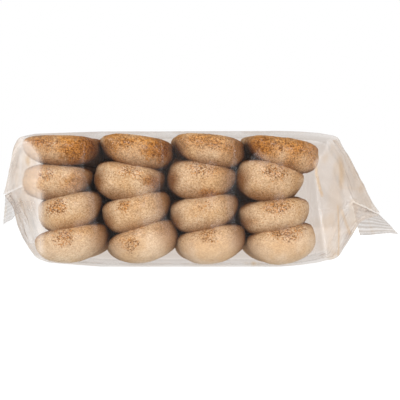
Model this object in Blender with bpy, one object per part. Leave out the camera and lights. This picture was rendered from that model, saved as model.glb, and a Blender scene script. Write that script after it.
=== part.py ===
"""A flow-wrapped clear bag of ladyfingers, lying on its long side, as one closed solid.

The bag is a tube of film that runs along X. It is filled by sixteen sponge fingers that lie along Y, four
across and four high, flat side up. Each end of the tube slopes in to a crimped seal that hangs down.
The film is drawn in between the fingers, so their ends stand out of the front and the back, and the upper
row stands out of the top. Metres, +Z up, origin under the middle of the bag.
"""

import math

import bmesh
import bpy
from mathutils import Matrix, Vector

MM = 0.001

# Fingers: one row of the table is one finger, seen from the front.
# x and z are the middle of its widest line, tilt is clockwise, and lean moves the lowest point sideways.
FINGER_LENGTH = 100 * MM
PLAN_ROUND_END = 18 * MM
THICKNESS_ROUND_END = 10 * MM
FINGER_END_POWER = 2.1
END_SPREAD = 0.9
FLAT_SIDE_SHARE = 0.32
FLAT_SIDE_POWER = 3.0
DOME_POWER = 2.25
FILM_CLEARANCE = 0.7 * MM
FINGER_LIFT = 0.3 * MM
UPPER_ROW_LIFT = 0.9 * MM
FINGER_AROUND = 24
FINGER_ALONG = 18
FINGERS = [  # x mm, z mm, width mm, thickness mm, tilt degrees, lean
    (-73.4, 64.1, 39.8, 16.0, 1, 0.05),
    (-34.2, 63.8, 37.5, 17.5, 6, 0.20),
    (4.9, 64.2, 36.3, 17.4, 6, 0.20),
    (43.5, 62.6, 37.7, 17.7, 9, 0.28),
    (-75.0, 47.6, 35.9, 19.0, 3, -0.20),
    (-37.1, 48.0, 36.2, 20.8, 9, -0.15),
    (1.3, 48.5, 35.1, 20.9, 8, -0.20),
    (37.8, 48.3, 34.9, 21.3, 11, -0.14),
    (-69.1, 32.1, 33.6, 20.2, -10, -0.15),
    (-34.0, 31.7, 35.9, 19.6, -12, -0.10),
    (2.6, 31.3, 35.9, 19.2, -8, -0.14),
    (39.1, 29.6, 37.0, 19.3, -7, -0.06),
    (-67.8, 15.3, 38.3, 18.6, -10, 0.00),
    (-31.1, 15.4, 36.0, 19.3, -18, 0.10),
    (6.1, 14.7, 35.7, 19.0, -10, 0.00),
    (42.7, 14.7, 35.7, 20.2, -12, 0.10),
]

# The front ends stay where the table has them, and each finger swings a little about its own.
FRONT_PIVOT = -44 * MM
COLUMN_YAW_DEG = (0.3, 1.1, -1.0, -0.7)
ROW_YAW_SHARE = (0.35, 1.0, 1.0, 0.7)
YAW_SCATTER_DEG = 0.25
PITCH_SCATTER_DEG = 0.3
COLUMNS = 4

HALF_LENGTH = FINGER_LENGTH / 2 + FILM_CLEARANCE

# Bag: the film between the fingers lies back from their ends and under the tops of the upper row.
BAG_HALF_DEPTH = 44 * MM
TOP_RECESS = 1.4 * MM
CORNER_RADIUS = 5 * MM
SEAL_HALF_DEPTH = 50 * MM
CORNER_STEPS = 3
SIDE_STEPS = 4
LONG_STEPS = 3
BLOCK_STEP = 9 * MM

# Profile of the tube in the front view, from the left seal to the right one, in mm:
# x and z of the upper sheet, x and z of the lower sheet, how far the back edge lies from the front one in
# x and in z, and how deep the two sides are tucked in.
LEFT_END = [
    (-101.4, 38.2, -100.7, 37.8, -1.2, 5.0, 0.4),
    (-100.8, 42.8, -97.2, 31.6, -1.0, 4.0, 7.0),
    (-100.0, 48.6, -94.7, 23.6, -0.6, 2.5, 12.0),
    (-99.0, 55.6, -92.7, 16.2, -0.3, 1.2, 11.0),
    (-97.7, 62.4, -89.2, 10.0, 0.0, 0.4, 6.0),
    (-94.6, 68.2, -85.4, 4.4, 0.0, 0.0, 2.0),
    (-86.5, 70.1, -80.0, 2.5, 0.0, 0.0, 0.0),
]
BLOCK = [
    (-72.0, 70.6, -71.0, 1.5, 0.0, 0.0, 0.0),
    (-52.0, 71.2, -52.0, 0.0, 0.0, 0.0, 0.0),
    (42.0, 71.5, 42.0, 0.0, 0.0, 0.0, 0.0),
    (53.0, 71.2, 52.0, 0.8, 0.0, 0.0, 0.0),
    (63.0, 70.4, 62.0, 2.2, 0.0, 0.0, 0.0),
]
RIGHT_END = [
    (71.9, 68.5, 71.6, 5.2, 0.0, 0.0, 2.0),
    (77.6, 59.4, 75.7, 11.6, -0.4, 0.4, 9.0),
    (82.2, 49.0, 79.2, 17.6, -1.2, 1.2, 13.0),
    (86.8, 39.0, 82.8, 22.9, -2.4, 2.6, 12.0),
    (90.8, 31.6, 88.0, 25.8, -4.2, 4.8, 5.0),
    (93.4, 28.0, 92.6, 27.2, -5.4, 6.4, 0.4),
]

# Crimped seals: a strip as wide as the bag is deep, with ribs along it. Each cut edge has the x and z of its
# front corner, then how far its back corner lies from it in x and in z.
SEAL_THICKNESS = 1.0 * MM
SEAL_RIBS = 7
RIB_HEIGHT = 0.25 * MM
LEFT_CUT_EDGE = (-101.6, 23.0, -1.4, 5.6)
RIGHT_CUT_EDGE = (103.0, 18.3, -11.5, -3.0)

# Materials: name, colour, roughness.
FILM_LOOK = ("film", (0.86, 0.70, 0.50, 1.0), 0.45)


def clear_scene():
    for old in list(bpy.data.objects):
        bpy.data.objects.remove(old)


def collection(name):
    made = bpy.data.collections.new(name)
    bpy.context.scene.collection.children.link(made)
    return made


def material(name, colour, roughness):
    made = bpy.data.materials.new(name)
    made.use_nodes = True
    shader = made.node_tree.nodes["Principled BSDF"]
    shader.inputs["Base Color"].default_value = colour
    shader.inputs["Roughness"].default_value = roughness
    return made


def rounded(value, power):
    """One coordinate of a superellipse, from a cosine or a sine."""
    return math.copysign(abs(value) ** (2 / power), value)


def end_share(y, round_end):
    """The share of the full size that a finger keeps at y, where its rounded end begins round_end from the tip."""
    past = (abs(y) - (HALF_LENGTH - round_end)) / round_end
    if past <= 0:
        return 1.0
    return max(0.0, 1 - past**FINGER_END_POWER) ** (1 / FINGER_END_POWER)


def finger_mesh(name, width, thickness, lean):
    """The film round a sponge finger along Y: nearly flat on top, domed below, with round ends."""
    bm = bmesh.new()
    bmesh.ops.create_uvsphere(bm, u_segments=FINGER_AROUND, v_segments=FINGER_ALONG, radius=1)
    first_ring = math.pi / FINGER_ALONG
    straight = HALF_LENGTH - PLAN_ROUND_END
    top = FLAT_SIDE_SHARE * thickness
    dome = thickness - top
    for vert in bm.verts:
        # The first rings off the sphere's middle go to the ends of the straight part, the others round the ends.
        angle = math.asin(max(-1.0, min(1.0, vert.co.z)))
        past = (abs(angle) - first_ring) / (math.pi / 2 - first_ring)
        if past <= 0:
            y = straight * abs(angle) / first_ring
        else:
            y = straight + PLAN_ROUND_END * math.sin(past * math.pi / 2) ** END_SPREAD
        around = math.hypot(vert.co.x, vert.co.y)
        if around < 1e-6:
            vert.co = Vector((0, math.copysign(HALF_LENGTH, angle), 0))
            continue
        cosine = vert.co.x / around
        sine = vert.co.y / around
        power = FLAT_SIDE_POWER if sine > 0 else DOME_POWER
        side = rounded(cosine, power) * width / 2
        height = rounded(sine, power) * (top if sine > 0 else dome)
        if height < 0:
            side += lean * width / 2 * -height / dome
        vert.co.x = side * end_share(y, PLAN_ROUND_END)
        vert.co.y = math.copysign(y, angle)
        vert.co.z = height * end_share(y, THICKNESS_ROUND_END)
    bm.normal_update()
    bmesh.ops.recalc_face_normals(bm, faces=bm.faces)
    mesh = bpy.data.meshes.new(name)
    bm.to_mesh(mesh)
    bm.free()
    return mesh


def finger_turn(number, tilt):
    """How a finger is turned: its tilt, then a small yaw and pitch of its own."""
    row, column = divmod(number, COLUMNS)
    yaw = COLUMN_YAW_DEG[column] * ROW_YAW_SHARE[row] + YAW_SCATTER_DEG * math.sin(2.4 * number)
    pitch = PITCH_SCATTER_DEG * math.sin(4.3 * number + 1)
    swing = Matrix.Rotation(math.radians(-yaw), 4, "Z") @ Matrix.Rotation(math.radians(pitch), 4, "X")
    return swing @ Matrix.Rotation(math.radians(tilt), 4, "Y")


def finger(number, row, parts):
    """Places one finger of the table, lifted where it would reach below the film it lies on."""
    x, z, width, thickness, tilt, lean = row
    name = f"finger_{number + 1:02d}"
    across = width * MM + 2 * FILM_CLEARANCE
    upright = thickness * MM + 2 * FILM_CLEARANCE
    made = bpy.data.objects.new(name, finger_mesh(name, across, upright, lean))
    parts.objects.link(made)
    pivot = Matrix.Translation((0, FRONT_PIVOT, 0))
    turn = pivot @ finger_turn(number, tilt) @ pivot.inverted()
    lowest = min((turn @ vert.co).z for vert in made.data.vertices)
    height = z * MM + (UPPER_ROW_LIFT if number < COLUMNS else 0)
    made.matrix_world = Matrix.Translation((x * MM, 0, max(height, FINGER_LIFT - lowest))) @ turn
    return made


def rounded_rectangle(half_depth, height):
    """(y, share of the height) round a tube section, anticlockwise from the lower front corner."""
    radius = min(CORNER_RADIUS, 0.49 * height)
    corners = [
        (half_depth - radius, radius, -90),
        (half_depth - radius, height - radius, 0),
        (radius - half_depth, height - radius, 90),
        (radius - half_depth, radius, 180),
    ]
    steps_after = [SIDE_STEPS, LONG_STEPS, SIDE_STEPS, LONG_STEPS]
    loop = []
    for i, (y, h, start) in enumerate(corners):
        for step in range(CORNER_STEPS + 1):
            angle = math.radians(start + 90 * step / CORNER_STEPS)
            loop.append((y + radius * math.cos(angle), h + radius * math.sin(angle)))
        following = corners[(i + 1) % 4]
        next_angle = math.radians(following[2])
        end = (
            following[0] + radius * math.cos(next_angle),
            following[1] + radius * math.sin(next_angle),
        )
        begin = loop[-1]
        for step in range(1, steps_after[i]):
            share = step / steps_after[i]
            loop.append(tuple(a + (b - a) * share for a, b in zip(begin, end)))
    return [(y, h / height) for y, h in loop]


def tube_section(station, half_depth, recess):
    """The points of the film's loop at one station of the profile."""
    top = Vector(station[0:2]) * MM
    low = Vector(station[2:4]) * MM
    sweep = Vector(station[4:6]) * MM
    tuck = station[6] * MM
    top.y -= recess
    points = []
    for y, share in rounded_rectangle(half_depth, (top - low).length):
        across = y / half_depth
        x, z = low.lerp(top, share) + sweep * (across + 1) / 2
        inward = tuck * (1 - abs(2 * share - 1)) * max(0.0, abs(across) * 2 - 1)
        points.append(Vector((x, y - math.copysign(inward, y), z)))
    return points


def seal_stations(root, cut_edge):
    """Stations down a crimped seal, from the root to the cut edge, with the ribs as small steps."""
    stations = []
    start = (Vector(root[0:2]) + Vector(root[2:4])) / 2
    end = Vector(cut_edge[0:2])
    along = (end - start).normalized()
    out = Vector((-along.y, along.x)) * (1 if root[0] > 0 else -1)
    count = 2 * SEAL_RIBS
    for step in range(1, count + 1):
        share = step / count
        middle = start.lerp(end, share) + out * RIB_HEIGHT / MM * (1 if step % 2 else -1)
        upper = middle + out * SEAL_THICKNESS / MM / 2
        lower = middle - out * SEAL_THICKNESS / MM / 2
        sweep = Vector(root[4:6]).lerp(Vector(cut_edge[2:4]), share)
        stations.append((*upper, *lower, *sweep, 0.0))
    return stations


def block_stations():
    """The stations of the full part of the bag, with more between the far ones."""
    stations = [BLOCK[0]]
    for station in BLOCK[1:]:
        last = stations[-1]
        steps = max(1, round((station[0] - last[0]) * MM / BLOCK_STEP))
        for step in range(1, steps + 1):
            share = step / steps
            stations.append(tuple(a + (b - a) * share for a, b in zip(last, station)))
    return stations


def end_spread(share):
    """Half depth and top recess between a seal, at share 0, and the full part of the bag, at share 1."""
    half = SEAL_HALF_DEPTH + (BAG_HALF_DEPTH - SEAL_HALF_DEPTH) * share
    return half, TOP_RECESS * share


def bag_loops():
    """The film's loops of points from the left cut edge to the right one."""
    stations = []
    for station in seal_stations(LEFT_END[0], LEFT_CUT_EDGE)[::-1]:
        stations.append((station, *end_spread(0)))
    for i, station in enumerate(LEFT_END):
        stations.append((station, *end_spread(i / len(LEFT_END))))
    for station in block_stations():
        stations.append((station, *end_spread(1)))
    for i, station in enumerate(RIGHT_END):
        stations.append((station, *end_spread(1 - (i + 1) / len(RIGHT_END))))
    for station in seal_stations(RIGHT_END[-1], RIGHT_CUT_EDGE):
        stations.append((station, *end_spread(0)))
    return [tube_section(*station) for station in stations]


def bag_body(parts):
    """The film's tube as a loft through its stations, closed at the two cut edges."""
    bm = bmesh.new()
    loops = [[bm.verts.new(point) for point in loop] for loop in bag_loops()]
    for first, second in zip(loops, loops[1:]):
        for i in range(len(first)):
            j = (i + 1) % len(first)
            bm.faces.new((first[i], first[j], second[j], second[i]))
    for loop in (loops[0], loops[-1]):
        bm.faces.new(loop)
    bmesh.ops.recalc_face_normals(bm, faces=bm.faces)
    mesh = bpy.data.meshes.new("bag")
    bm.to_mesh(mesh)
    bm.free()
    body = bpy.data.objects.new("bag", mesh)
    body.data.materials.append(material(*FILM_LOOK))
    parts.objects.link(body)
    return body


def middle_x(mesh):
    """The middle of the mesh's extent along X."""
    along = [vert.co.x for vert in mesh.vertices]
    return (min(along) + max(along)) / 2


def fuse(body, pieces):
    """Joins the collection's objects to the body, centres the result along X and removes them."""
    union = body.modifiers.new("union", "BOOLEAN")
    union.operation = "UNION"
    union.operand_type = "COLLECTION"
    union.collection = pieces
    union.solver = "MANIFOLD"
    bpy.context.view_layer.update()
    graph = bpy.context.evaluated_depsgraph_get()
    joined = bpy.data.meshes.new_from_object(body.evaluated_get(graph))
    body.modifiers.clear()
    joined.transform(Matrix.Translation((-middle_x(joined), 0, 0)))
    body.data = joined
    for piece in list(pieces.objects):
        bpy.data.objects.remove(piece)
    bpy.data.collections.remove(pieces)


def main():
    clear_scene()
    parts = collection("ladyfinger_bag")
    pieces = collection("fingers")
    for number, row in enumerate(FINGERS):
        finger(number, row, pieces)
    body = bag_body(parts)
    fuse(body, pieces)
    body.data.shade_smooth()
    body.data.set_sharp_from_angle(angle=math.radians(40))


main()
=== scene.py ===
import math

import bpy
import numpy as np
from mathutils import Matrix, Vector
from mathutils.bvhtree import BVHTree


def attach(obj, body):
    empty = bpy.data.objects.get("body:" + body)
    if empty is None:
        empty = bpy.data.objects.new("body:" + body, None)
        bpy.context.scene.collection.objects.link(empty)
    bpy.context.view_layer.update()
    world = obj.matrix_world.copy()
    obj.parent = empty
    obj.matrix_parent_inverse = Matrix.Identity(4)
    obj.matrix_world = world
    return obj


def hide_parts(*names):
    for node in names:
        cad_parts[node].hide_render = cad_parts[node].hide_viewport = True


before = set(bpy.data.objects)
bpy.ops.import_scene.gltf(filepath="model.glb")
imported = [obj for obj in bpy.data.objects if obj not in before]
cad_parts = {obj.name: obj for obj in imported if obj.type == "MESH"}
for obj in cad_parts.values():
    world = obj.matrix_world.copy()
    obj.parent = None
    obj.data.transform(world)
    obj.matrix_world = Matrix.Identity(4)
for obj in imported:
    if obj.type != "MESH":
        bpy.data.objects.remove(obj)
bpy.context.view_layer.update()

# ---------------------------------------------------------------------------------------------------
# Sizes in millimetres, shared with the solid: the table of fingers and the profile of the film.
# ---------------------------------------------------------------------------------------------------
MM = 0.001
CENTRE_X = 0.28
FINGER_HALF_LENGTH = 49.8
PLAN_ROUND_END = 18.0
THICKNESS_ROUND_END = 10.0
END_POWER = 2.1
FLAT_SIDE_SHARE = 0.32
FLAT_SIDE_POWER = 3.0
DOME_POWER = 2.25
FINGER_LIFT = 1.0
FINGERS = [  # x, z, width, thickness, tilt in degrees, lean
    (-73.4, 64.1, 39.8, 16.0, 1, 0.05),
    (-34.2, 63.8, 37.5, 17.5, 6, 0.20),
    (4.9, 64.2, 36.3, 17.4, 6, 0.20),
    (43.5, 62.6, 37.7, 17.7, 9, 0.28),
    (-75.0, 47.6, 35.9, 19.0, 3, -0.20),
    (-37.1, 48.0, 36.2, 20.8, 9, -0.15),
    (1.3, 48.5, 35.1, 20.9, 8, -0.20),
    (37.8, 48.3, 34.9, 21.3, 11, -0.14),
    (-69.1, 32.1, 33.6, 20.2, -10, -0.15),
    (-34.0, 31.7, 35.9, 19.6, -12, -0.10),
    (2.6, 31.3, 35.9, 19.2, -8, -0.14),
    (39.1, 29.6, 37.0, 19.3, -7, -0.06),
    (-67.8, 15.3, 38.3, 18.6, -10, 0.00),
    (-31.1, 15.4, 36.0, 19.3, -18, 0.10),
    (6.1, 14.7, 35.7, 19.0, -10, 0.00),
    (42.7, 14.7, 35.7, 20.2, -12, 0.10),
]
# The front ends stay where they are, and each finger swings a little about its own. A positive yaw swings
# its back end towards +X.
FRONT_PIVOT = -44.0
COLUMN_YAW_DEG = (0.3, 1.1, -1.0, -0.7)
ROW_YAW_SHARE = (0.35, 1.0, 1.0, 0.7)
YAW_SCATTER_DEG = 0.25
PITCH_SCATTER_DEG = 0.3
FINGER_BEND = 0.6
LENGTH_SCATTER = 0.8
MIDDLE_SWELL = 0.02
# Two fingers sag or arch in the middle of their length: finger, then how far up the middle moves.
MIDDLE_LIFT = {7: -1.3, 11: 1.1}
# Inside the stack the fingers' sides are fuller and squarer than at their ends. Their forms overlap there,
# deeper than real ones could, and no light comes through.
PRESSED_POWER = 6.0
PRESSED_ACROSS = 2.1
PRESSED_UP = 1.6
PRESSED_MIDDLE = 10.0
PRESSED_FROM = 32.0
PRESSED_FULL = 12.0

# Toasted places on the fingers' ends: finger, then the place's middle and half sizes across and up the
# finger's section, then the strength.
TOASTED = [
    (0, 13.0, -1.0, 12.0, 9.0, 1.1),
    (1, 11.0, -1.0, 11.0, 6.5, 0.95),
    (2, -8.0, 1.0, 9.0, 4.5, 0.6),
    (2, 13.0, 0.0, 6.0, 7.0, 0.6),
    (3, -12.0, -0.5, 9.0, 7.5, 1.1),
    (3, 2.0, 4.0, 10.0, 3.4, 0.35),
    (3, 16.0, 0.0, 5.0, 7.0, 0.45),
    (4, 10.0, -2.0, 12.0, 8.0, 0.6),
    (5, 13.0, -1.0, 7.0, 4.0, 0.85),
    (6, -15.5, -3.0, 4.0, 5.0, 0.5),
    (6, 8.0, -9.0, 10.0, 2.8, 0.8),
    (7, -12.0, -1.0, 6.0, 5.0, 0.3),
    (9, 14.0, 1.0, 5.0, 4.6, 0.3),
    (11, -13.0, -4.0, 6.0, 3.0, 0.5),
    (13, 12.0, 2.0, 7.0, 4.6, 0.4),
    (15, -12.0, 2.0, 7.0, 4.6, 0.2),
]
# Porous patches on the fingers' ends, in the same form.
POROUS = [
    (0, -7.5, 2.6, 6.5, 4.0, 1.2),
    (1, -4.5, 2.6, 4.6, 4.2, 1.0),
    (2, 0.0, 2.6, 8.0, 4.0, 1.15),
    (3, -1.5, 3.0, 8.0, 4.0, 1.15),
    (4, -5.4, 1.4, 4.2, 4.2, 0.6),
    (5, 0.0, 2.0, 6.0, 3.0, 0.6),
    (6, -1.0, 3.4, 8.5, 3.6, 0.7),
    (7, 1.0, 2.0, 6.5, 4.0, 0.7),
    (8, -6.0, 0.6, 5.5, 3.6, 0.9),
    (9, -5.5, 1.6, 3.6, 3.0, 0.8),
    (10, 1.0, 1.0, 4.0, 3.0, 0.3),
    (11, 2.0, 2.4, 7.0, 4.4, 0.75),
    (12, -3.5, 1.2, 5.4, 4.2, 0.85),
    (13, -5.6, -1.6, 4.2, 4.0, 0.8),
    (14, -1.0, 2.2, 4.6, 5.6, 0.6),
    (15, 3.0, 2.4, 8.5, 4.4, 0.8),
]
# For each row from the top: how browned its fingers are, and what share of that their lower halves keep.
ROW_BROWNING = (0.9, 0.44, 0.38, 0.42)
ROW_BROWNING_BELOW = (0.6, 0.45, 0.4, 0.3)
# For each row: how much painted shade darkens the lower left side of a finger in the gap beside it.
ROW_LEFT_SHADE = (1.0, 1.25, 1.0, 0.25)
# For each finger: how much painted light, as if thrown up from the white floor, lightens its lower half.
FLOOR_BOUNCE_BELOW = (0, 0, 0, 0, 0, 0, 0, 0, 0.1, 0.1, 0.1, 0.1, 0.4, 0.65, 0.85, 0.75)

FILM_HALF_DEPTH = 46.0
CORNER_RADIUS = 5.0
SEAL_HALF_DEPTH = 50.0
# Stations of the film's tube: x and z of the upper sheet, x and z of the lower sheet, then how far the
# back edge lies from the front one in x and in z.
LEFT_END = [
    (-101.4, 38.2, -100.7, 37.8, -1.2, 5.0),
    (-100.8, 42.8, -97.2, 31.6, -1.0, 4.0),
    (-100.0, 48.6, -94.7, 23.6, -0.6, 2.5),
    (-99.0, 55.6, -92.7, 16.2, -0.3, 1.2),
    (-97.7, 62.4, -89.2, 10.0, 0.0, 0.4),
    (-94.6, 68.2, -85.4, 4.4, 0.0, 0.0),
    (-86.5, 70.1, -80.0, 2.5, 0.0, 0.0),
]
BLOCK = [
    (-72.0, 70.6, -71.0, 1.5, 0.0, 0.0),
    (-52.0, 71.2, -52.0, 0.0, 0.0, 0.0),
    (42.0, 71.5, 42.0, 0.0, 0.0, 0.0),
    (53.0, 71.2, 52.0, 0.8, 0.0, 0.0),
    (63.0, 70.4, 62.0, 2.2, 0.0, 0.0),
]
RIGHT_END = [
    (71.9, 68.5, 71.6, 5.2, 0.0, 0.0),
    (77.6, 59.4, 75.7, 11.6, -0.4, 0.4),
    (82.2, 49.0, 79.2, 17.6, -1.2, 1.2),
    (86.8, 39.0, 82.8, 22.9, -2.4, 2.6),
    (90.8, 31.6, 88.0, 25.8, -4.2, 4.8),
    (93.4, 28.0, 92.6, 27.2, -5.4, 6.4),
]
# The seals' cut edges: x and z at the front, then how far the back lies from it in x and in z.
LEFT_CUT_EDGE = (-101.6, 23.0, -1.4, 5.6)
RIGHT_CUT_EDGE = (103.0, 18.3, -11.5, -3.0)
# x and z of the lines where the front of the film turns in towards the two ends, from the bottom up.
LEFT_CREASE = (
    (-83.0, 5.0), (-83.5, 19.6), (-85.9, 28.0), (-85.2, 35.8), (-84.6, 43.1),
    (-82.9, 50.0), (-83.2, 56.7), (-84.8, 60.4), (-88.2, 64.5), (-92.9, 67.7),
)
RIGHT_CREASE = (
    (65.9, 6.4), (63.3, 25.9), (62.0, 36.9), (60.9, 52.1), (61.4, 56.0),
    (63.5, 58.4), (65.9, 60.5), (67.2, 65.8), (71.9, 68.4),
)


# ---------------------------------------------------------------------------------------------------
# Noise, worked out for many points at once
# ---------------------------------------------------------------------------------------------------
def lattice_hash(cells, seed):
    """A repeatable number from 0 to 1 for each integer cell."""
    c = cells.astype(np.int64)
    h = c[..., 0] * 374761393 + c[..., 1] * 668265263 + c[..., 2] * 2147483647 + seed * 974634777
    h = (h ^ (h >> 13)) * 1274126177
    h = h ^ (h >> 16)
    return (h & 0xFFFFFF) / float(0x1000000)


def value_noise(points, scale, seed):
    """Smooth noise from -1 to 1 with features about as wide as scale."""
    p = points / scale
    base = np.floor(p)
    f = p - base
    f = f * f * (3 - 2 * f)
    total = np.zeros(len(p))
    for dx in (0, 1):
        for dy in (0, 1):
            for dz in (0, 1):
                corner = lattice_hash(base + np.array((dx, dy, dz)), seed)
                wx = f[:, 0] if dx else 1 - f[:, 0]
                wy = f[:, 1] if dy else 1 - f[:, 1]
                wz = f[:, 2] if dz else 1 - f[:, 2]
                total += corner * wx * wy * wz
    return total * 2 - 1


def cell_noise(points, scale, seed):
    """Distance to the nearest scattered point, in cells, and that point's own random number."""
    p = points / scale
    base = np.floor(p)
    nearest = np.full(len(p), 9.0)
    owner = np.zeros(len(p))
    for dx in (-1, 0, 1):
        for dy in (-1, 0, 1):
            for dz in (-1, 0, 1):
                cell = base + np.array((dx, dy, dz))
                spot = cell + np.stack([lattice_hash(cell, seed + k) for k in range(3)], axis=-1)
                distance = np.linalg.norm(p - spot, axis=1)
                closer = distance < nearest
                nearest = np.where(closer, distance, nearest)
                owner = np.where(closer, lattice_hash(cell, seed + 7), owner)
    return nearest, owner


def smoothstep(low, high, value):
    """Rises smoothly from 0 at low to 1 at high, or falls where low is the greater."""
    t = np.clip((value - low) / (high - low), 0, 1)
    return t * t * (3 - 2 * t)


# ---------------------------------------------------------------------------------------------------
# Meshes
# ---------------------------------------------------------------------------------------------------
def grid_faces(rows, columns, closed):
    """Quads between the rows of a grid, closed round its columns or open."""
    width = columns if closed else columns - 1
    i = np.arange(rows - 1)[:, None] * columns
    j = np.arange(width)[None, :]
    k = (j + 1) % columns
    return np.stack([i + j, i + k, i + columns + k, i + columns + j], axis=-1).reshape(-1, 4)


def make_object(name, vertices_mm, quads, extra_faces, material, attributes):
    """One smooth mesh object in the frame, with its float attributes and its material."""
    mesh = bpy.data.meshes.new(name)
    moved = np.asarray(vertices_mm) + np.array((CENTRE_X, 0, 0))
    faces = [tuple(q) for q in quads.tolist()] + [tuple(f) for f in extra_faces]
    mesh.from_pydata((moved * MM).tolist(), [], faces)
    for key, values in attributes.items():
        layer = mesh.attributes.new(key, "FLOAT", "POINT")
        layer.data.foreach_set("value", np.asarray(values, dtype=np.float32))
    mesh.materials.append(material)
    mesh.validate()
    mesh.update()
    mesh.shade_smooth()
    made = bpy.data.objects.new(name, mesh)
    bpy.context.scene.collection.objects.link(made)
    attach(made, "root")
    return made


def grid_normals(grid, closed):
    """Unit normals of a grid of points by central differences."""
    along = np.gradient(grid, axis=0)
    if closed:
        across = (np.roll(grid, -1, axis=1) - np.roll(grid, 1, axis=1)) / 2
    else:
        across = np.gradient(grid, axis=1)
    normal = np.cross(across, along)
    length = np.linalg.norm(normal, axis=2, keepdims=True)
    return normal / np.maximum(length, 1e-9)


# ---------------------------------------------------------------------------------------------------
# Fingers
# ---------------------------------------------------------------------------------------------------
AROUND = 144
END_RINGS = 34
MIDDLE_RINGS = 46
OUTLINE_SAMPLES = 2401
PIT_DEPTH = 0.28


def scatter(number, pace, start=0.0):
    """A repeatable number from -1 to 1 for each finger."""
    return math.sin(pace * number + start)


def pressed_sides(number):
    """Which sides of a finger touch a neighbour: left, right, over and under."""
    row, column = divmod(number, 4)
    return column > 0, column < 3, row > 0, row < 3


def section_outline(width, thickness, lean, pressed, count):
    """Evenly spaced points round a finger's section, nearly flat on top and domed below."""
    left, right, over, under = pressed
    angle = np.linspace(0, 2 * math.pi, OUTLINE_SAMPLES)
    c, s = np.cos(angle), np.sin(angle)
    power = np.where(s > 0, FLAT_SIDE_POWER, DOME_POWER)
    touching = (np.where(c > 0, right, left)) & (np.where(s > 0, over, under))
    power = np.where(touching, PRESSED_POWER, power)
    top = FLAT_SIDE_SHARE * thickness
    dome = thickness - top
    u = np.sign(c) * np.abs(c) ** (2 / power) * width / 2
    v = np.sign(s) * np.abs(s) ** (2 / power) * np.where(s > 0, top, dome)
    u = u + np.where(v < 0, lean * width / 2 * -v / dome, 0)
    u = u * (1 + np.where(c > 0, right, left) * 2 * PRESSED_ACROSS / width)
    # A finger of an outer column bulges only towards its neighbours.
    inner = (1 - (not right) * smoothstep(-0.3, 0.6, c)) * (1 - (not left) * smoothstep(-0.3, 0.6, -c))
    v = v * (1 + inner * np.where(s > 0, over * PRESSED_UP / top, under * PRESSED_UP / dome))
    step = np.hypot(np.diff(u), np.diff(v))
    length = np.concatenate([[0], np.cumsum(step)])
    want = np.linspace(0, length[-1], count, endpoint=False)
    return np.interp(want, length, u), np.interp(want, length, v)


def end_share(y, round_end, half_length):
    """What share of its full size a finger has at y, where its end rounds off."""
    past = np.clip((np.abs(y) - (half_length - round_end)) / round_end, 0, 1)
    return (1 - past**END_POWER) ** (1 / END_POWER)


def finger_grid(number, extra):
    """The smooth form of one finger as rings along Y, about the middle of its section."""
    _, _, width, thickness, _, lean = FINGERS[number]
    half = FINGER_HALF_LENGTH - LENGTH_SCATTER * (0.5 + 0.5 * scatter(number, 5.1)) + extra
    size = width + 2 * extra, thickness + 2 * extra, lean
    end_u, end_v = section_outline(*size, (False, False, False, False), AROUND)
    mid_u, mid_v = section_outline(*size, pressed_sides(number), AROUND)
    turn = np.linspace(0, math.pi / 2, END_RINGS + 1)[1:]
    ends = half - PLAN_ROUND_END * (1 - np.cos(turn) ** (2 / END_POWER))
    straight = half - PLAN_ROUND_END
    middle = np.linspace(straight, -straight, MIDDLE_RINGS + 2)[1:-1]
    y = np.concatenate([ends, middle, -ends[::-1]])
    plan = end_share(y, PLAN_ROUND_END, half)
    upright = end_share(y, THICKNESS_ROUND_END, half)
    # The middle of a finger is fuller than its ends, and each one bends its own way.
    fuller = smoothstep(PRESSED_FROM, PRESSED_FULL, np.abs(y - PRESSED_MIDDLE))[:, None]
    u = end_u[None, :] * (1 - fuller) + mid_u[None, :] * fuller
    v = end_v[None, :] * (1 - fuller) + mid_v[None, :] * fuller
    swell = 1 + MIDDLE_SWELL * np.cos(y / half * math.pi / 2)
    bend = FINGER_BEND * scatter(number, 3.7, 1) * np.cos(y / half * math.pi)
    grid = np.zeros((len(y), AROUND, 3))
    grid[:, :, 0] = u * (plan * swell)[:, None] + bend[:, None]
    grid[:, :, 1] = y[:, None]
    grid[:, :, 2] = v * upright[:, None]
    arch = 0.5 + 0.5 * np.cos(np.clip(y / PRESSED_FROM, -1, 1) * math.pi)
    grid[:, :, 2] += arch[:, None] * MIDDLE_LIFT.get(number, 0.0)
    return grid, half


def finger_turn(number):
    """The turn of a finger: its tilt about Y, then a little pitch and yaw."""
    tilt = FINGERS[number][4]
    yaw = COLUMN_YAW_DEG[number % 4] * ROW_YAW_SHARE[number // 4]
    yaw = math.radians(yaw + YAW_SCATTER_DEG * scatter(number, 2.4))
    pitch = math.radians(PITCH_SCATTER_DEG * scatter(number, 4.3, 1))
    swing = Matrix.Rotation(-yaw, 3, "Z") @ Matrix.Rotation(pitch, 3, "X")
    return swing @ Matrix.Rotation(math.radians(tilt), 3, "Y")


def place(grid, number):
    """Turns the finger and sets it in the pack, lifted where it would reach below the film."""
    x, z = FINGERS[number][:2]
    pivot = np.array((0, FRONT_PIVOT, 0))
    placed = (grid - pivot) @ np.array(finger_turn(number)).T + pivot
    lift = max(z, FINGER_LIFT - placed[..., 2].min())
    return placed + np.array((x, 0, lift))


def patch(local, entry, soft):
    """How strongly one elliptical place of the tables covers each point, with a soft uneven rim."""
    number, across, up, half_across, half_up, strength = entry
    wobble = 0.3 * value_noise(local + 31 * number, 4.0, 5) - 0.1
    wobble += 0.25 * soft * value_noise(local + 17 * number, 1.1, 6)
    d = np.hypot((local[:, 0] - across) / half_across, (local[:, 2] - up) / half_up) + wobble
    return strength * (1 - smoothstep(0.55 - 0.5 * soft, 1.25 + 0.35 * soft, d))


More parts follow.
